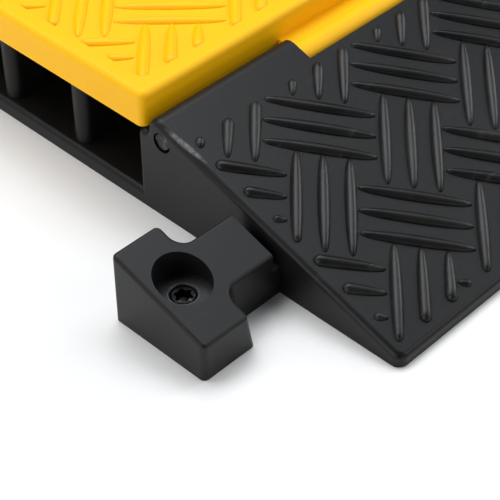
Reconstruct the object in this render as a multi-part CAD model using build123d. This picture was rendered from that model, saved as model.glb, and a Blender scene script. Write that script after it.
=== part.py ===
from build123d import *
import os

# Cable protector ramp, five channels, with a hinged lid and T-shaped end connectors.
# Millimetres. X runs along the cables, -X is the end with the male connectors, +Z is up.
# The origin is the middle of the footprint, on the ground.

# ---- overall sizes ----
body_length = 914.0        # base moulding, without the connectors
ridge_height = 50.0        # height that the side ramps climb to; their rounded crest is a little lower
lid_rise = 8.0             # lid's rim above the ridge
channel_count = 5
channel_width = 38.5
rib_thickness = 10.0
floor_thickness = 7.5

# ---- side ramps ----
ramp_run = 135.0           # toe to where the slope reaches the ridge height
ridge_flat = 4.8           # from there to the ridge's inner face
crest_round = 6.0          # round crest between the slope and the inner face
toe_height = 5.6
wall_offset = 145.9        # toe to the first channel's wall
ledge_drop = 0.6           # step beside the lid, below the lid's underside
top_round = 3.0            # round along the toe and the ends
ledge_round = 3.3
ledge_inner_round = 1.5
toe_corner_round = 4.5
floor_end_round = 2.5
channel_round = 2.0
rib_setback = 3.0          # ribs stop short of the base's ends

# ---- lid ----
lid_gap = 2.5              # groove between the ridge's inner face and the lid
lid_side = 8.5             # ridge down to the lid's underside
lid_corner_round = 3.5
lid_rim_round = 3.0
rim_width = 9.0            # plain rim round the tread field
field_depth = 2.0
rest_gap = 0.05            # lid above the ribs
lid_end_gap = 0.3          # lid's ends inside the base's ends

# ---- hinge ----
axis_offset = 131.4        # toe to hinge axis
axis_drop = 9.7            # hinge axis below the ridge height
rod_diameter = 7.94
rod_clearance = 0.125      # radial, rod in base and in knuckles
mouth_diameter = 9.6       # wider mouth at each end of the rod's bore
mouth_depth = 8.0
mouth_shift_y = -0.5       # the mouths sit slightly off the rod's axis
mouth_shift_z = -0.2
rod_recess = 0.4
shear_tilt = -7.5          # the rod is cropped to a torn step across its end
shear_step = 0.9
shear_fall = 1.2
rod_tail = 20.0            # rod stops this far from the plug's end of the base
knuckle_count = 5
knuckle_length = 70.0
knuckle_pitch = 170.0
knuckle_radius = 6.6
knuckle_side_gap = 0.6
knuckle_swing_gap = 0.7
arm_low = 1.2              # knuckle arm, heights above the axis
arm_high = 5.6
swing_back = 9.0           # slot behind the axis, for the arm when the lid is open

# ---- T connectors ----
head_length = 24.5         # along X, at the top
head_width = 50.7
head_shift = -0.55         # head's middle from the neck's middle
head_reach = 56.6          # end wall to the head's far face
hook_draft = 0.2           # the head's hooking faces lean out downwards, per mm
neck_width = 24.2
neck_offset = 63.55        # toe to the neck's near side
top_drop = 3.8             # connector's top below the ramp's surface
neck_stop = 4.2            # full-height neck ends this far from the end wall
tongue_top = 14.0
tongue_reach = 30.0        # tongue inside the base
connector_round = 1.6
head_corner_round = 2.5
neck_corner_round = 6.0
fit_gap = 0.3              # round the tongue
socket_gap = 0.8           # round a mating connector
skin = 3.0                 # wall left above pockets and sockets
pocket_floor = 5.0         # wall left below the tongue
seat_gap = 0.05            # between fastened pieces

# ---- anchor screw and its sleeve ----
recess_radius = 12.0
anchor_shift = 0.85        # screw from the neck's middle, across
recess_floor = 18.7
anchor_from_face = 15.4    # head's far face to the screw
sleeve_radius = 6.4
sleeve_bottom = 1.0
anchor_head_radius = 5.3
anchor_head_height = 6.0
anchor_head_sink = 0.8
anchor_shank_radius = 3.0
anchor_tip = 2.0
anchor_clearance = 0.3
mouth_chamfer = 0.4        # inside the sleeve's top edge
drive_lobes = 6
drive_radius = 3.1         # star drive, to the middles of its lobes
lobe_radius = 0.9
drive_depth = 3.5

# ---- connector bolts and inserts ----
bolt_pitch = 14.0
bolt_first = 9.0           # end wall to the first bolt
bolt_radius = 3.0
bolt_head_radius = 5.6
bolt_length = 12.0
bolt_sink = 0.4
bolt_clearance = 0.3
insert_radius = 4.2
insert_length = 8.0

# ---- derived ----
lid_top = ridge_height + lid_rise
lid_underside = ridge_height - lid_side
ledge_height = lid_underside - ledge_drop
axis_height = ridge_height - axis_drop
channels_width = channel_count * channel_width + (channel_count - 1) * rib_thickness
body_width = 2 * wall_offset + channels_width
slope = (ridge_height - toe_height) / ramp_run
x_wall = -(body_length - head_reach) / 2       # male end wall
x_back = x_wall + body_length                  # female end wall
y_toe = -body_width / 2
y_inner = y_toe + ramp_run + ridge_flat
y_wall = y_toe + wall_offset
y_lid = y_inner + lid_gap
y_axis = y_toe + axis_offset
y_neck = y_toe + neck_offset + neck_width / 2
y_head = y_neck + head_shift
y_anchor = y_neck + anchor_shift
x_head = x_wall - head_reach
x_anchor = x_head + anchor_from_face
rib_top = lid_underside - rest_gap
rod_radius = rod_diameter / 2
bore_radius = rod_radius + rod_clearance
rod_length = body_length - rod_recess - rod_tail
knuckle_centres = [x_wall + body_length / 2 + (i - (knuckle_count - 1) / 2) * knuckle_pitch
                   for i in range(knuckle_count)]
bolt_positions = [x_wall + bolt_first + i * bolt_pitch for i in range(2)]


def ramp_z(y, drop=0.0):
    """Height of the near ramp's surface at y, less a drop."""
    return toe_height + slope * (y - y_toe) - drop


def box(x0, x1, y0, y1, z0, z1):
    return Pos((x0 + x1) / 2, (y0 + y1) / 2, (z0 + z1) / 2) * Box(x1 - x0, y1 - y0, z1 - z0)


def rod_x(radius, x0, x1, y, z):
    """Cylinder along X."""
    return Pos((x0 + x1) / 2, y, z) * Rot(0, 90, 0) * Cylinder(radius, x1 - x0)


def post(radius, z0, z1, x, y):
    """Cylinder along Z."""
    return Pos(x, y, (z0 + z1) / 2) * Cylinder(radius, z1 - z0)


def along_x(points, x0, x1):
    """Extrude a closed outline of (y, z) points from x0 to x1."""
    outline = make_face(Polyline(*[(x0, y, z) for y, z in points], close=True))
    return extrude(outline, amount=x1 - x0, dir=(1, 0, 0))


def far(shape):
    """The same piece on the other side of the cables."""
    return mirror(shape, about=Plane.XZ)


def edges_at(shape, **limits):
    """Edges whose middles lie inside the given x, y, z limits."""
    def inside(e):
        c = e.center(CenterOf.BOUNDING_BOX)
        return all(lo - 1e-3 <= getattr(c, k.upper()) <= hi + 1e-3 for k, (lo, hi) in limits.items())
    return shape.edges().filter_by(inside)


# ---- base moulding ----
def ramp_solid():
    """One side ramp with its ridge and the ledge beside the lid."""
    outline = [(y_toe, 0), (y_toe, toe_height), (y_inner, ramp_z(y_inner)), (y_inner, ledge_height),
               (y_wall, ledge_height), (y_wall, 0)]
    ramp = along_x(outline, x_wall, x_back)
    toe_posts = ramp.edges().filter_by(Axis.Z).filter_by(lambda e: abs(e.center().Y - y_toe) < 1e-3)
    ramp = fillet(toe_posts, toe_corner_round)
    ramp = fillet(edges_at(ramp, y=(y_inner, y_inner), z=(ramp_z(y_inner), ramp_z(y_inner))), crest_round)
    ramp = fillet(edges_at(ramp, y=(y_inner, y_inner), z=(ledge_height, ledge_height)), ledge_inner_round)
    ramp = fillet(edges_at(ramp, y=(y_wall, y_wall), z=(ledge_height, ledge_height)), ledge_round)

    def rounded(e):
        c, size = e.center(CenterOf.BOUNDING_BOX), e.bounding_box().size
        if c.Z < 1e-3:
            return False
        if size.X > body_length / 2:
            return abs(c.Y - y_toe) < 1e-3
        if size.X < 1e-3 and size.Y < 1e-3:
            return c.Y > y_toe + toe_corner_round + 1
        return True

    return fillet(ramp.edges().filter_by(rounded), top_round)


def floor_and_ribs():
    floor = box(x_wall, x_back, y_wall - 4, -y_wall + 4, 0, floor_thickness)
    for x in (x_wall, x_back):
        floor = fillet(edges_at(floor, x=(x, x), z=(floor_thickness, floor_thickness)), floor_end_round)
    for i in range(channel_count - 1):
        y0 = y_wall + (i + 1) * channel_width + i * rib_thickness
        rib = box(x_wall + rib_setback, x_back - rib_setback, y0, y0 + rib_thickness, 1, rib_top)
        rib = fillet(rib.edges().filter_by(Axis.Z), rib_thickness / 2 - 0.2)
        floor += rib
    return floor


def hinge_slots():
    """Room for the lid's knuckles and for their arms as the lid swings back."""
    slots = []
    for x in knuckle_centres:
        x0, x1 = x - knuckle_length / 2 - knuckle_side_gap, x + knuckle_length / 2 + knuckle_side_gap
        slots.append(rod_x(knuckle_radius + knuckle_swing_gap, x0, x1, y_axis, axis_height))
        slots.append(box(x0, x1, y_axis - swing_back, y_wall + 1, axis_height, ridge_height + 5))
    return slots


def rod_bore():
    bore = [rod_x(bore_radius, x_wall - 1, x_back + 1, y_axis, axis_height)]
    for x0, x1 in ((x_wall - 1, x_wall + mouth_depth), (x_back - mouth_depth, x_back + 1)):
        bore.append(rod_x(mouth_diameter / 2, x0, x1, y_axis + mouth_shift_y, axis_height + mouth_shift_z))
    return bore


def tongue_pocket():
    """Pocket for the tongue in the male end wall, with the bolt holes below it."""
    y0, y1 = y_neck - neck_width / 2 - fit_gap, y_neck + neck_width / 2 + fit_gap
    pocket = box(x_wall - 1, x_wall + tongue_reach + fit_gap, y0, y1, pocket_floor, tongue_top + fit_gap)
    for x in bolt_positions:
        pocket += post(bolt_radius + bolt_clearance, -1, pocket_floor + 1, x, y_neck)
        reach = bolt_head_radius + bolt_clearance
        pocket += Pos(x, y_neck, 1.5) * Cone(reach + 0.5, reach - 2.7, 3.2)
    return pocket


def hook_cutter(x_top, y0, y1):
    """Everything in front of a head's hooking faces, which lean out below the connector's sloped top."""
    z = ramp_z(y0, top_drop)
    profile = make_face(Polyline((x_top - hook_draft * 20, y0, z + 20), (x_top + hook_draft * (z + 30), y0, -30),
                                 (x_top + 60, y0, -30), (x_top + 60, y0, z + 20), close=True))
    return extrude(profile, amount=(y1 - y0) * (1 + slope ** 2) ** 0.5, dir=(0, 1, slope))


def t_socket():
    """Open-bottomed socket in the female end that drops over the next ramp's connector."""
    g = socket_gap
    y0, y1 = y_neck - neck_width / 2 - g, y_neck + neck_width / 2 + g
    neck_end = x_back - (head_reach - head_length) + g
    socket = along_x([(y0, -1), (y1, -1), (y1, ramp_z(y1, skin)), (y0, ramp_z(y0, skin))],
                     neck_end - 1, x_back + 1)
    y0, y1 = y_head - head_width / 2 - g, y_head + head_width / 2 + g
    head = along_x([(y0, -1), (y1, -1), (y1, ramp_z(y1, skin)), (y0, ramp_z(y0, skin))],
                   x_back - head_reach - g, neck_end + 12)
    return socket + (head - hook_cutter(neck_end, y0 - 5, y1 + 5))


def make_base():
    ramp = ramp_solid() - tongue_pocket() - t_socket()
    base = ramp + far(ramp) + floor_and_ribs()
    for cut in hinge_slots() + rod_bore():
        base -= cut
    return base


# ---- lid with its knuckles ----
def make_lid():
    x0, x1 = x_wall + lid_end_gap, x_back - lid_end_gap
    lid = box(x0, x1, y_lid, -y_lid, lid_underside, lid_top)
    lid = fillet(lid.edges().filter_by(Axis.Z), lid_corner_round)
    lid = fillet(lid.faces().sort_by(Axis.Z)[-1].edges(), lid_rim_round)
    field = box(x0 + rim_width, x1 - rim_width, y_lid + rim_width, -y_lid - rim_width,
                lid_top - field_depth, lid_top + 1)
    lid -= fillet(field.edges().filter_by(Axis.Z), 4)
    for x in knuckle_centres:
        k0, k1 = x - knuckle_length / 2, x + knuckle_length / 2
        knuckle = rod_x(knuckle_radius, k0, k1, y_axis, axis_height)
        knuckle += box(k0, k1, y_axis, y_lid + 2, axis_height + arm_low, axis_height + arm_high)
        lid += knuckle - rod_x(bore_radius, k0 - 1, k1 + 1, y_axis, axis_height)
    return lid


# ---- hinge rod and the plug behind it ----
def make_rod():
    x0 = x_wall + rod_recess
    rod = rod_x(rod_radius, x0, x0 + rod_length, y_axis, axis_height)
    rod = chamfer(rod.edges(), 0.4)
    reach = rod_radius + 1
    upper = Polyline((-1, 0, 0), (0, 0, 0), (shear_fall, 0, reach), (-1, 0, reach), close=True)
    lower = Polyline((-1, 0, 0), (shear_step, 0, 0), (0.2, 0, -reach), (-1, 0, -reach), close=True)
    for facet in (upper, lower):
        cut = extrude(make_face(facet), amount=reach, dir=(0, 1, 0), both=True)
        rod -= Pos(x0, y_axis, axis_height) * Rot(shear_tilt, 0, 0) * cut
    return rod


def make_plug():
    y, z = y_axis + mouth_shift_y, axis_height + mouth_shift_z
    plug = rod_x(mouth_diameter / 2 - seat_gap, x_back - mouth_depth + seat_gap, x_back - 0.3, y, z)
    return plug


# ---- T connector ----
def connector_blank():
    """Head and neck, sloped on top like the ramp."""
    y0, y1 = y_head - head_width / 2, y_head + head_width / 2
    n0, n1 = y_neck - neck_width / 2, y_neck + neck_width / 2
    xh, xn = x_head + head_length, x_wall - neck_stop
    head = box(x_head, xh + 12, y0, y1, 0, ridge_height) - hook_cutter(xh, y0 - 5, y1 + 5)
    blank = head + box(x_head + 5, xn, n0, n1, 0, ridge_height)
    posts = blank.edges().filter_by(lambda e: e.bounding_box().size.Z > 20)
    inner = posts.filter_by(lambda e: n0 - 1e-3 < e.center().Y < n1 + 1e-3 and e.center().X < xn - 1)
    blank = fillet(inner, neck_corner_round)
    posts = blank.edges().filter_by(lambda e: e.bounding_box().size.Z > 20)
    outer = posts.filter_by(lambda e: min(abs(e.center().Y - y0), abs(e.center().Y - y1)) < 1e-3)
    blank = fillet(outer, head_corner_round)
    above = [(y0 - 5, ramp_z(y0 - 5, top_drop)), (y1 + 5, ramp_z(y1 + 5, top_drop)),
             (y1 + 5, 90), (y0 - 5, 90)]
    blank -= along_x(above, x_head - 5, x_wall)
    top = blank.faces().sort_by(Axis.Z)[-1]
    stop_edge = top.edges().filter_by(lambda e: abs(e.center().X - xn) < 1e-3)
    rounded = [e for e in top.edges() if all((e.center() - s.center()).length > 1e-3 for s in stop_edge)]
    return fillet(rounded, connector_round)


def make_connector():
    body = connector_blank()
    n0, n1 = y_neck - neck_width / 2, y_neck + neck_width / 2
    body += box(x_wall - neck_stop - 1, x_wall - seat_gap, n0, n1, 0, tongue_top)
    body += box(x_wall - seat_gap - 1, x_wall + tongue_reach, n0, n1, pocket_floor + seat_gap, tongue_top)
    body -= post(recess_radius, recess_floor, 90, x_anchor, y_anchor)
    body -= post(sleeve_radius + seat_gap, -1, recess_floor + 1, x_anchor, y_anchor)
    for x in bolt_positions:
        body -= post(insert_radius + seat_gap, 0, pocket_floor + insert_length + seat_gap, x, y_neck)
    return body


def make_sleeve():
    sleeve = post(sleeve_radius, sleeve_bottom, recess_floor, x_anchor, y_anchor)
    seat = recess_floor - anchor_head_sink - anchor_head_height
    sleeve -= post(anchor_head_radius + anchor_clearance, seat, recess_floor + 1, x_anchor, y_anchor)
    sleeve -= post(anchor_shank_radius + anchor_clearance, 0, seat + 1, x_anchor, y_anchor)
    mouth = sleeve.faces().sort_by(Axis.Z)[-1].inner_wires()[0]
    return chamfer(mouth.edges(), mouth_chamfer)


def make_anchor_screw():
    top = recess_floor - anchor_head_sink
    seat = top - anchor_head_height
    screw = post(anchor_head_radius, seat, top, x_anchor, y_anchor)
    screw = chamfer(screw.edges().sort_by(Axis.Z)[-1:], 0.6)
    screw += post(anchor_shank_radius, anchor_tip, seat + 1, x_anchor, y_anchor)
    socket = post(drive_radius, top - drive_depth, top + 1, x_anchor, y_anchor)
    for i in range(drive_lobes):
        turn = Pos(x_anchor, y_anchor, top - drive_depth / 2 + 0.5) * Rot(0, 0, i * 360 / drive_lobes)
        socket += turn * Pos(drive_radius, 0, 0) * Cylinder(lobe_radius, drive_depth + 1)
    return screw - socket


def make_bolts():
    """Countersunk socket screws that hold the tongues, driven from below."""
    bolts = []
    for side in (1, -1):
        for x in bolt_positions:
            y = side * y_neck
            bolt = post(bolt_radius, bolt_sink + 1, bolt_sink + bolt_length, x, y)
            bolt += Pos(x, y, bolt_sink + 1.35) * Cone(bolt_head_radius, bolt_head_radius - 2.5, 2.7)
            hexagon = extrude(Pos(x, y, bolt_sink) * RegularPolygon(2.3, 6), amount=2.0)
            bolts.append(bolt - hexagon)
    return Compound(children=[b.solid() for b in bolts])


def make_inserts():
    inserts = []
    for side in (1, -1):
        for x in bolt_positions:
            y = side * y_neck
            insert = post(insert_radius, pocket_floor + seat_gap, pocket_floor + insert_length, x, y)
            insert -= post(bolt_radius + seat_gap, 0, 40, x, y)
            inserts.append(insert.solid())
    return Compound(children=inserts)


connector = make_connector()
sleeve = make_sleeve()
screw = make_anchor_screw()
pieces = {
    "base_body": make_base(),
    "lid": make_lid(),
    "hinge_rod": make_rod(),
    "rod_end_plug": make_plug(),
    "t_connector_near": connector,
    "t_connector_far": far(connector),
    "anchor_sleeve_near": sleeve,
    "anchor_sleeve_far": far(sleeve),
    "anchor_screw_near": screw,
    "anchor_screw_far": far(screw),
    "connector_bolts": make_bolts(),
    "threaded_inserts": make_inserts(),
}

os.makedirs("parts", exist_ok=True)
for name, piece in pieces.items():
    export_step(piece, f"parts/{name}.step")
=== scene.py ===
import math

import bmesh
import bpy
from mathutils import Matrix, Vector


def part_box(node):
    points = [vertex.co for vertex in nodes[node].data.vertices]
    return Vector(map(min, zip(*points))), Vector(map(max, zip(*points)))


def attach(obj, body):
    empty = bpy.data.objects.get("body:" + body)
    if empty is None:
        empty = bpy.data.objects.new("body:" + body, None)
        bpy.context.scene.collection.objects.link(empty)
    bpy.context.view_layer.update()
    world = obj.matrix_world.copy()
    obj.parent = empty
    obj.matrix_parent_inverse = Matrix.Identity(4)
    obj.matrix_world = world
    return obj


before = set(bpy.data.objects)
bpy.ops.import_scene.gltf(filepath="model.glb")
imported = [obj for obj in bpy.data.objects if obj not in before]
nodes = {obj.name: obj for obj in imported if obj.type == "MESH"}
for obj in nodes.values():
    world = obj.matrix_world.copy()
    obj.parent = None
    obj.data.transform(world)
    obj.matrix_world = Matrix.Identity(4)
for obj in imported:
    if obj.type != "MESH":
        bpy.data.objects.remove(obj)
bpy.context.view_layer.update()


# ---- base moulding ----
# One heavy black polyurethane moulding: the floor and ribs of the cable channels with a drive-over ramp on each
# side. It is poured in a lightly textured mould, so the skin is satin, a little mottled, and scuffed where feet
# and tyres have been. A pale streaky patch along the near ramp's rounded end edge near the ridge is a painted
# highlight: it stands in for a light's reflection there, not wear.
base_low, base_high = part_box("base_body")
toe_height = 0.0056
ramp_run = 0.135
ramp_rise = 0.0444
ramp_angle = math.atan2(ramp_rise, ramp_run)


def new_material(name):
    """An empty node material with its output and Principled shader."""
    material = bpy.data.materials.new(name)
    material.use_nodes = True
    tree = material.node_tree
    tree.nodes.clear()
    out = tree.nodes.new("ShaderNodeOutputMaterial")
    shader = tree.nodes.new("ShaderNodeBsdfPrincipled")
    tree.links.new(shader.outputs["BSDF"], out.inputs["Surface"])
    return material, tree, shader


def add(tree, kind, **values):
    """A node with its sockets and properties set by name."""
    node = tree.nodes.new(kind)
    for key, value in values.items():
        if hasattr(node, key):
            setattr(node, key, value)
        else:
            node.inputs[key.replace("_", " ")].default_value = value
    return node


def mixed(tree, factor, a, b):
    """The colour a turning into b as the factor goes from 0 to 1."""
    node = tree.nodes.new("ShaderNodeMix")
    node.data_type = "RGBA"
    for socket, value in ((node.inputs[0], factor), (node.inputs[6], a), (node.inputs[7], b)):
        if isinstance(value, bpy.types.NodeSocket):
            tree.links.new(value, socket)
        else:
            socket.default_value = value
    return node.outputs[2]


def ranged(tree, value, low, high, to_low, to_high):
    """The value mapped from one range to another, clamped."""
    node = tree.nodes.new("ShaderNodeMapRange")
    tree.links.new(value, node.inputs[0])
    for i, v in enumerate((low, high, to_low, to_high), 1):
        node.inputs[i].default_value = v
    return node.outputs[0]


def new_group(name, inputs, outputs):
    """A node group with float or colour sockets, and its two end nodes."""
    group = bpy.data.node_groups.new(name, "ShaderNodeTree")
    for label, value in inputs:
        kind = "NodeSocketColor" if isinstance(value, tuple) else "NodeSocketFloat"
        group.interface.new_socket(label, in_out="INPUT", socket_type=kind).default_value = value
    for label, kind in outputs:
        group.interface.new_socket(label, in_out="OUTPUT", socket_type=kind)
    return group, group.nodes.new("NodeGroupInput"), group.nodes.new("NodeGroupOutput")


def placed(tree, group, **values):
    """A group placed in a material with its own values."""
    node = tree.nodes.new("ShaderNodeGroup")
    node.node_tree = group
    for key, value in values.items():
        node.inputs[key.replace("_", " ")].default_value = value
    return node


moulded_skin, skin_in, skin_out = new_group(
    "moulded_skin",
    [("Colour", (0.04, 0.04, 0.04, 1)), ("Worn Colour", (0.07, 0.07, 0.07, 1)), ("Roughness", 0.42),
     ("Mottle", 0.5), ("Scuffs", 0.3)],
    [("Colour", "NodeSocketColor"), ("Roughness", "NodeSocketFloat"), ("Height", "NodeSocketFloat")])
place = add(moulded_skin, "ShaderNodeTexCoord")
cloud = add(moulded_skin, "ShaderNodeTexNoise", Scale=28.0, Detail=4.0, Roughness=0.55)
grain = add(moulded_skin, "ShaderNodeTexNoise", Scale=1900.0, Detail=2.0, Roughness=0.6)
pits = add(moulded_skin, "ShaderNodeTexVoronoi", Scale=620.0)
rub_place = add(moulded_skin, "ShaderNodeMapping")
rub_place.inputs["Scale"].default_value = (34, 260, 60)
rub_place.inputs["Rotation"].default_value = (0, 0, 0.5)
rubs = add(moulded_skin, "ShaderNodeTexNoise", Scale=1.0, Detail=6.0, Roughness=0.7)
for texture in (cloud, grain, pits, rub_place):
    moulded_skin.links.new(place.outputs["Object"], texture.inputs["Vector"])
moulded_skin.links.new(rub_place.outputs["Vector"], rubs.inputs["Vector"])
mottle = add(moulded_skin, "ShaderNodeMath", operation="MULTIPLY")
moulded_skin.links.new(ranged(moulded_skin, cloud.outputs["Fac"], 0.35, 0.68, 0, 1), mottle.inputs[0])
moulded_skin.links.new(skin_in.outputs["Mottle"], mottle.inputs[1])
scuff = add(moulded_skin, "ShaderNodeMath", operation="MULTIPLY")
moulded_skin.links.new(ranged(moulded_skin, rubs.outputs["Fac"], 0.6, 0.74, 0, 1), scuff.inputs[0])
moulded_skin.links.new(skin_in.outputs["Scuffs"], scuff.inputs[1])
tone = mixed(moulded_skin, mottle.outputs[0], skin_in.outputs["Colour"], skin_in.outputs["Worn Colour"])
pale = add(moulded_skin, "ShaderNodeMix", data_type="RGBA", blend_type="ADD")
moulded_skin.links.new(scuff.outputs[0], pale.inputs[0])
moulded_skin.links.new(tone, pale.inputs[6])
pale.inputs[7].default_value = (0.035, 0.034, 0.033, 1)
moulded_skin.links.new(pale.outputs[2], skin_out.inputs["Colour"])
rough_a = add(moulded_skin, "ShaderNodeMath", operation="MULTIPLY_ADD")
moulded_skin.links.new(cloud.outputs["Fac"], rough_a.inputs[0])
rough_a.inputs[1].default_value = 0.14
moulded_skin.links.new(skin_in.outputs["Roughness"], rough_a.inputs[2])
rough_b = add(moulded_skin, "ShaderNodeMath", operation="MULTIPLY_ADD")
moulded_skin.links.new(scuff.outputs[0], rough_b.inputs[0])
rough_b.inputs[1].default_value = 0.18
moulded_skin.links.new(rough_a.outputs[0], rough_b.inputs[2])
moulded_skin.links.new(rough_b.outputs[0], skin_out.inputs["Roughness"])
height_a = add(moulded_skin, "ShaderNodeMath", operation="MULTIPLY_ADD")
moulded_skin.links.new(pits.outputs["Distance"], height_a.inputs[0])
height_a.inputs[1].default_value = 0.35
moulded_skin.links.new(grain.outputs["Fac"], height_a.inputs[2])
moulded_skin.links.new(height_a.outputs[0], skin_out.inputs["Height"])


def moulding_material(name, colour, worn, roughness, mottle=0.5, scuffs=0.3, bump=0.0001, sheen=0.5):
    """Moulded plastic or rubber: skin colour, worn colour, and a bumped fine grain."""
    material, tree, shader = new_material(name)
    skin = placed(tree, moulded_skin, Colour=(*colour, 1), Worn_Colour=(*worn, 1), Roughness=roughness,
                  Mottle=mottle, Scuffs=scuffs)
    grain_bump = add(tree, "ShaderNodeBump", Strength=0.5, Distance=bump)
    tree.links.new(skin.outputs["Height"], grain_bump.inputs["Height"])
    tree.links.new(skin.outputs["Colour"], shader.inputs["Base Color"])
    tree.links.new(skin.outputs["Roughness"], shader.inputs["Roughness"])
    tree.links.new(grain_bump.outputs["Normal"], shader.inputs["Normal"])
    shader.inputs["Specular IOR Level"].default_value = sheen
    return material


def give(objects, material):
    """The material goes on every slot of these objects."""
    for o in objects:
        if not o.data.materials:
            o.data.materials.append(material)
        for i in range(len(o.data.materials)):
            o.data.materials[i] = material


def paint_edge_highlight(material, place, turn, shape, amount, colour):
    """Paints a highlight in broken streaks over a turned oval patch, given its centre and half sizes: a pale colour
    mixed into the skin colour where a light's reflection falls.
    """
    tree = material.node_tree
    shader = next(n for n in tree.nodes if n.type == "BSDF_PRINCIPLED")
    where = add(tree, "ShaderNodeTexCoord")
    patch = add(tree, "ShaderNodeMapping", vector_type="TEXTURE", Location=place, Rotation=turn, Scale=shape)
    far = add(tree, "ShaderNodeVectorMath", operation="LENGTH")
    highlight_breakup = add(tree, "ShaderNodeTexNoise", Scale=420.0, Detail=5.0, Roughness=0.7)
    tree.links.new(where.outputs["Object"], patch.inputs["Vector"])
    tree.links.new(where.outputs["Object"], highlight_breakup.inputs["Vector"])
    tree.links.new(patch.outputs["Vector"], far.inputs[0])
    strength = add(tree, "ShaderNodeMath", operation="MULTIPLY")
    tree.links.new(ranged(tree, far.outputs["Value"], 1.0, 0.5, 0, amount), strength.inputs[0])
    tree.links.new(ranged(tree, highlight_breakup.outputs["Fac"], 0.40, 0.56, 0.35, 1), strength.inputs[1])
    skin_colour = shader.inputs["Base Color"].links[0].from_socket
    tree.links.new(mixed(tree, strength.outputs[0], skin_colour, (*colour, 1)), shader.inputs["Base Color"])


black_polyurethane = moulding_material("black_polyurethane", (0.006, 0.006, 0.0064), (0.0085, 0.0083, 0.0082), 0.31,
                                       sheen=0.23)
give([nodes["base_body"]], black_polyurethane)
# Painted highlight: a pale oval of broken streaks on the near ramp's rounded end edge, near the ridge, stands in
# for an overhead light's reflection there.
paint_edge_highlight(black_polyurethane, (base_low.x + 0.0020, base_low.y + 0.1188, toe_height + 0.0390), (ramp_angle, 0, 0.093),
    (0.0015, 0.0130, 0.0020), 0.95, (0.15, 0.15, 0.148))


# ---- tread bars of the ramps ----
# Raised lens-shaped bars, in threes, woven at right angles across each ramp for grip. They are part of the same
# pour as the base, but tyres and boots polish and scuff them first; where a block of bars meets the plain margin
# the mould cuts them off round.
bar_length = 0.0475
bar_width = 0.0059
bar_height = 0.0027
bar_spacing = 0.0115
block_pitch = Vector((0.0554, 0.0571))
first_block = Vector((0.0296, 0.0135))
first_cross_block = Vector((0.0011, 0.0418))
bar_margin = 0.0076
bar_top_margin = 0.1229
bar_sink = 0.0003
shortest_bar = 0.0012
lower_from = 0.095
lower_over = 0.015
lower_by = 0.13


def bar_mesh(mesh, centre, turn, low, high, place):
    """One bar on a flat field, clipped to the field, then put in place by a function of (along, across, up)."""
    direction = Vector((math.cos(turn), math.sin(turn)))
    side = Vector((-direction.y, direction.x))
    start, end = -bar_length / 2, bar_length / 2
    for axis in range(2):
        a = (low[axis] - centre[axis]) / direction[axis]
        b = (high[axis] - centre[axis]) / direction[axis]
        start, end = max(start, min(a, b)), min(end, max(a, b))
    if end - start < shortest_bar:
        return

    def lens(s):
        return max(0.0, 1 - (2 * s / bar_length) ** 2) ** 0.55

    def half_width(s):
        return bar_width / 2 * (0.36 + 0.64 * lens(s))

    tips = [half_width(start), half_width(end)]
    first, last = start - tips[0] * 0.98, end + tips[1] * 0.98
    length_steps, cross_steps = max(10, round((last - first) / 0.0024)), 8
    rows = []
    for i in range(length_steps + 1):
        s = (first + last) / 2 - math.cos(math.pi * i / length_steps) * (last - first) / 2
        inner = min(max(s, start), end)
        past = abs(s - inner) / (tips[0] if s < inner else tips[1])
        cap = math.sqrt(max(0.0, 1 - past ** 2))
        half = half_width(inner) * cap
        rise = bar_height * (0.45 + 0.55 * lens(inner)) * cap ** 0.8
        row = []
        for j in range(cross_steps + 1):
            u = -math.cos(math.pi * j / cross_steps)
            p = centre + direction * s + side * (u * half)
            row.append(mesh.verts.new(place(p.x, p.y, rise * (1 - abs(u) ** 2.2) ** 0.7 - bar_sink)))
        rows.append(row)
    for a, b in zip(rows, rows[1:]):
        for j in range(cross_steps):
            mesh.faces.new((a[j], a[j + 1], b[j + 1], b[j]))
        mesh.faces.new((a[0], b[0], b[-1], a[-1]))


def woven_bars(name, low, high, place, origin=Vector((0, 0))):
    """Blocks of three bars woven over a rectangular field."""
    mesh = bmesh.new()
    columns = int((high.x - low.x) / block_pitch.x) + 3
    lines = int((high.y - low.y) / block_pitch.y) + 3
    for corner, turn in ((first_block, math.pi / 4), (first_cross_block, -math.pi / 4)):
        across = Vector((-math.sin(turn), math.cos(turn)))
        for i in range(-1, columns):
            for j in range(-1, lines):
                middle = origin + corner + Vector((i * block_pitch.x, j * block_pitch.y))
                for k in (-1, 0, 1):
                    bar_mesh(mesh, middle + across * (k * bar_spacing), turn, low, high, place)
    bmesh.ops.remove_doubles(mesh, verts=mesh.verts, dist=1e-6)
    bmesh.ops.recalc_face_normals(mesh, faces=mesh.faces)
    data = bpy.data.meshes.new(name)
    mesh.to_mesh(data)
    mesh.free()
    data.polygons.foreach_set("use_smooth", [True] * len(data.polygons))
    piece = bpy.data.objects.new(name, data)
    bpy.context.scene.collection.objects.link(piece)
    return piece


def on_near_ramp(along, up_slope, up):
    """The bars get a little lower towards the ridge, where the open lid comes down beside them."""
    near_ridge = min(1.0, max(0.0, (up_slope - lower_from) / lower_over))
    up *= 1 - lower_by * near_ridge
    y = base_low.y + up_slope * math.cos(ramp_angle) - up * math.sin(ramp_angle)
    return (base_low.x + along, y, toe_height + up_slope * math.sin(ramp_angle) + up * math.cos(ramp_angle))


def on_far_ramp(along, up_slope, up):
    x, y, z = on_near_ramp(along, up_slope, up)
    return (x, -y, z)


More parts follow.
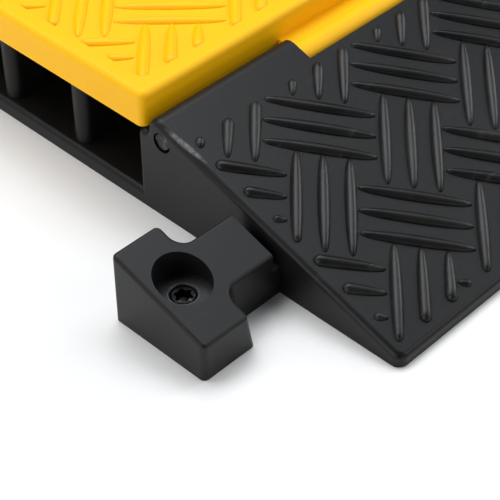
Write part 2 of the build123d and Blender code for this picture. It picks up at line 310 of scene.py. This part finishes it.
ramp_length = base_high.x - base_low.x
worn_tread = moulding_material("worn_tread", (0.0055, 0.0055, 0.0058), (0.016, 0.0158, 0.0155), 0.27, mottle=0.8,
                               scuffs=1.0, bump=0.00016, sheen=0.27)
field_low = Vector((bar_margin, bar_margin))
field_high = Vector((ramp_length - bar_margin, bar_top_margin))
for tread_name, on_ramp in (("tread_bars_near", on_near_ramp), ("tread_bars_far", on_far_ramp)):
    tread = woven_bars(tread_name, field_low, field_high, on_ramp)
    give([tread], worn_tread)
    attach(tread, "base")


# ---- end connectors ----
# A T-shaped moulding of harder black nylon stands out of each ramp's end, and the next ramp's socket drops over
# it. It is smoother and a shade bluer than the base.
connector_nylon = moulding_material("connector_nylon", (0.0065, 0.0066, 0.0074), (0.009, 0.009, 0.01), 0.36,
                                    mottle=0.4, scuffs=0.15, bump=0.00006, sheen=0.27)
give([nodes["t_connector_near"], nodes["t_connector_far"]], connector_nylon)


# ---- sleeves and anchor screws ----
# A black phosphated steel sleeve is moulded into the connector's head, and a star-drive screw with a black oxide
# finish is parked in it. Handling wears the oxide off the screw's rim.
worn_metal, metal_in, metal_out = new_group(
    "worn_metal",
    [("Finish", (0.02, 0.02, 0.02, 1)), ("Bare", (0.3, 0.3, 0.3, 1)), ("Wear", 0.3), ("Roughness", 0.35),
     ("Spot Scale", 700.0)],
    [("Colour", "NodeSocketColor"), ("Roughness", "NodeSocketFloat"), ("Height", "NodeSocketFloat")])
metal_place = add(worn_metal, "ShaderNodeTexCoord")
spots = add(worn_metal, "ShaderNodeTexNoise", Detail=5.0, Roughness=0.65)
worn_metal.links.new(metal_place.outputs["Object"], spots.inputs["Vector"])
worn_metal.links.new(metal_in.outputs["Spot Scale"], spots.inputs["Scale"])
bare_spots = add(worn_metal, "ShaderNodeMath", operation="MULTIPLY")
worn_metal.links.new(ranged(worn_metal, spots.outputs["Fac"], 0.48, 0.66, 0, 1), bare_spots.inputs[0])
worn_metal.links.new(metal_in.outputs["Wear"], bare_spots.inputs[1])
worn_metal.links.new(mixed(worn_metal, bare_spots.outputs[0], metal_in.outputs["Finish"],
                           metal_in.outputs["Bare"]), metal_out.inputs["Colour"])
metal_rough = add(worn_metal, "ShaderNodeMath", operation="MULTIPLY_ADD")
worn_metal.links.new(spots.outputs["Fac"], metal_rough.inputs[0])
metal_rough.inputs[1].default_value = 0.22
worn_metal.links.new(metal_in.outputs["Roughness"], metal_rough.inputs[2])
worn_metal.links.new(metal_rough.outputs[0], metal_out.inputs["Roughness"])
worn_metal.links.new(spots.outputs["Fac"], metal_out.inputs["Height"])


def metal_material(name, finish, bare, wear, roughness, metallic, spot_scale=700.0, bump=0.00005):
    """Coated or bare metal with worn spots."""
    material, tree, shader = new_material(name)
    metal = placed(tree, worn_metal, Finish=(*finish, 1), Bare=(*bare, 1), Wear=wear, Roughness=roughness,
                   Spot_Scale=spot_scale)
    bump_node = add(tree, "ShaderNodeBump", Strength=0.5, Distance=bump)
    tree.links.new(metal.outputs["Height"], bump_node.inputs["Height"])
    tree.links.new(metal.outputs["Colour"], shader.inputs["Base Color"])
    tree.links.new(metal.outputs["Roughness"], shader.inputs["Roughness"])
    tree.links.new(bump_node.outputs["Normal"], shader.inputs["Normal"])
    shader.inputs["Metallic"].default_value = metallic
    return material


sleeve_steel = metal_material("phosphated_sleeve", (0.035, 0.035, 0.035), (0.10, 0.10, 0.10), 0.4, 0.34, 0.35)
screw_steel = metal_material("black_oxide_screw", (0.010, 0.0105, 0.011), (0.10, 0.10, 0.10), 0.55, 0.24, 1.0,
                             spot_scale=520.0, bump=0.0003)
give([nodes["anchor_sleeve_near"], nodes["anchor_sleeve_far"]], sleeve_steel)
give([nodes["anchor_screw_near"], nodes["anchor_screw_far"]], screw_steel)


# ---- connector bolts and inserts ----
# Zinc-plated countersunk screws come up through the base's floor into turned brass inserts in the connectors'
# tongues; only their heads show, from below.
zinc_plate = metal_material("zinc_plated_steel", (0.55, 0.56, 0.57), (0.33, 0.33, 0.32), 0.35, 0.22, 1.0)
turned_brass = metal_material("turned_brass", (0.68, 0.50, 0.22), (0.45, 0.32, 0.14), 0.3, 0.24, 1.0)
give([nodes["connector_bolts"]], zinc_plate)
give([nodes["threaded_inserts"]], turned_brass)


# ---- hinge rod and its plug ----
# The lid turns on an 8 mm steel rod with a dark coating, cropped to a torn, rough end at the open end of its bore.
# A soft black plug is pressed into the other end.
coated_rod = metal_material("coated_rod", (0.012, 0.012, 0.012), (0.11, 0.11, 0.108), 0.85, 0.34, 0.3,
                            spot_scale=420.0, bump=0.0016)
give([nodes["hinge_rod"]], coated_rod)
plug_rubber = moulding_material("plug_rubber", (0.02, 0.02, 0.02), (0.03, 0.03, 0.03), 0.6, scuffs=0.1)
give([nodes["rod_end_plug"]], plug_rubber)


# ---- lid ----
# A bright yellow polyurethane plate with knuckles along one edge. It has the ramps' tread in a shallow field
# inside a plain rim; the real lid picks up grey tyre dirt there, which is not painted on here.
yellow_polyurethane = moulding_material("yellow_polyurethane", (1.0, 0.53, 0.002), (0.96, 0.46, 0.002), 0.34,
                                        mottle=0.35, scuffs=0.05, sheen=0.2)
give([nodes["lid"]], yellow_polyurethane)
lid_low, lid_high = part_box("lid")
lid_rim = 0.009
lid_field_depth = 0.002
lid_field_margin = 0.003
lid_bar_share = 0.8
lid_near_side = -lid_high.y
lid_inset = lid_rim + lid_field_margin
lid_field_low = Vector((lid_inset, lid_inset))
lid_field_high = Vector((lid_high.x - lid_low.x - lid_inset, 2 * lid_high.y - lid_inset))


def on_lid(along, across, up):
    return (lid_low.x + along, lid_near_side + across, lid_high.z - lid_field_depth + up * lid_bar_share)


lid_tread = woven_bars("tread_bars_lid", lid_field_low, lid_field_high, on_lid)
give([lid_tread], yellow_polyurethane)
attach(lid_tread, "lid")


# ---- floor, lights and camera ----
# A plain white studio sweep under a ring of soft lights: most of the light comes from above and behind, the
# right-hand one puts the bright band on the bars, and low fills at the end lift the yellow. The camera looks down
# across the corner of the near ramp.
bpy.ops.mesh.primitive_plane_add(size=12, location=(0, 0, -0.0002))
floor = bpy.context.object
floor.name = "studio_floor"
floor_material, floor_tree, floor_shader = new_material("white_sweep")
speckle = add(floor_tree, "ShaderNodeTexNoise", Scale=60.0, Detail=3.0)
floor_tree.links.new(mixed(floor_tree, speckle.outputs["Fac"], (0.86, 0.86, 0.86, 1), (0.9, 0.9, 0.9, 1)),
                     floor_shader.inputs["Base Color"])
floor_shader.inputs["Roughness"].default_value = 0.85
give([floor], floor_material)

world = bpy.data.worlds.new("studio")
bpy.context.scene.world = world
world.use_nodes = True
world.node_tree.nodes["Background"].inputs["Color"].default_value = (0.95, 0.97, 1.0, 1)
world.node_tree.nodes["Background"].inputs["Strength"].default_value = 0.01


near_corner = Vector((base_low.x, base_low.y, 0))
lit_point = near_corner + Vector((0.06, 0.07, 0.02))


def softbox(name, azimuth, height, size, power, colour, distance=1.8):
    """A soft light seen from the near corner at this azimuth and height, in degrees."""
    turn, lift = math.radians(azimuth), math.radians(height)
    way = Vector((math.cos(turn) * math.cos(lift), math.sin(turn) * math.cos(lift), math.sin(lift)))
    data = bpy.data.lights.new(name, "AREA")
    data.shape = "RECTANGLE"
    data.size, data.size_y = size
    data.energy = power
    data.color = colour
    light = bpy.data.objects.new(name, data)
    bpy.context.scene.collection.objects.link(light)
    light.location = lit_point + way * distance
    light.rotation_euler = (-way).to_track_quat("-Z", "Y").to_euler()


softbox("overhead_softbox", 60, 62, (1.1, 1.1), 19, (0.96, 0.98, 1))
softbox("left_overhead", 120, 62, (0.9, 0.9), 11, (0.97, 0.985, 1))
softbox("right_overhead", 0, 62, (0.9, 0.9), 5.5, (0.84, 0.92, 1))
softbox("right_softbox", -15, 27, (0.8, 0.7), 9, (1, 0.995, 0.985))
softbox("front_right_softbox", -55, 30, (0.9, 0.9), 6, (1, 0.99, 0.98))
softbox("far_left_softbox", 135, 30, (0.9, 0.9), 4.5, (0.98, 0.99, 1))
softbox("left_fill", -172, 30, (0.9, 0.8), 5, (1, 0.97, 0.92))
softbox("end_fill", 180, 14, (0.9, 0.7), 6, (1, 0.97, 0.93))
softbox("front_fill", -95, 6, (0.9, 0.5), 2, (1, 0.95, 0.88))
softbox("low_strip", 0, 12, (0.9, 0.9), 3, (1, 1, 1))

camera_data = bpy.data.cameras.new("camera")
camera_data.sensor_width = 36
camera_data.lens = 111.45
camera_data.clip_start = 0.01
camera = bpy.data.objects.new("camera", camera_data)
bpy.context.scene.collection.objects.link(camera)
back = Vector((-0.53460, -0.51705, 0.66848))
right = Vector((0.69480, -0.71920, -0.00062))
up = back.cross(right)
camera.matrix_world = Matrix.Translation(near_corner + Vector((-0.33666, -0.24535, 0.43358))) @ Matrix(
    (right, up, back)).transposed().to_4x4()
bpy.context.scene.camera = camera
bpy.context.scene.view_settings.view_transform = "Standard"
